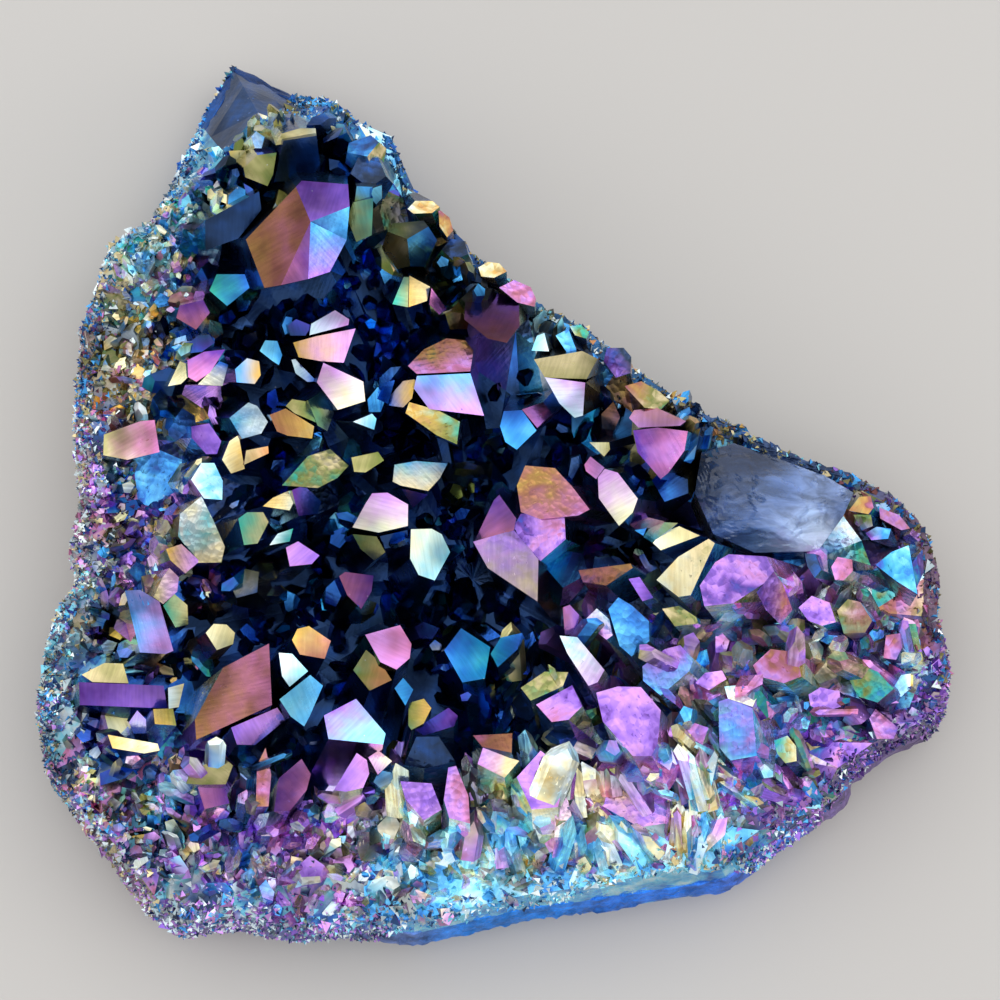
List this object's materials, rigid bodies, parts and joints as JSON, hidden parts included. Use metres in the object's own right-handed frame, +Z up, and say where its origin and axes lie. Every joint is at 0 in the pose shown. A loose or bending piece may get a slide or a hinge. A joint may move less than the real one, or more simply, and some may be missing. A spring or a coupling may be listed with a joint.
{
  "type": "titanium aura druzy",
  "caption": "Broken plate of geode rock lined with quartz crystals that carry a rainbow metallic titanium coating, lying flat on its rock underside.",
  "frame": {"origin": "on the flat resting face under the rock, below the middle of the plate", "axes": "+Z up out of the crystals, +Y towards the bare rock corner, +X towards the broken clear quartz"},
  "size_m": [0.1239, 0.1235, 0.034],
  "materials": {
    "coated_quartz": "quartz crystals with an opaque, mirror-like titanium film in blue, violet, pink, gold and green",
    "coated_crust": "fine sugary quartz crust under the same titanium film, silvery, pink and blue",
    "rock": "rough slate-grey geode rock with a thin blue film on its upper edge",
    "clear_quartz": "broken, veiled, grey-blue clear quartz that the coating left glassy"
  },
  "bodies": {
    "root": {"druzy_cluster": "coated_quartz"}
  },
  "joints": []
}
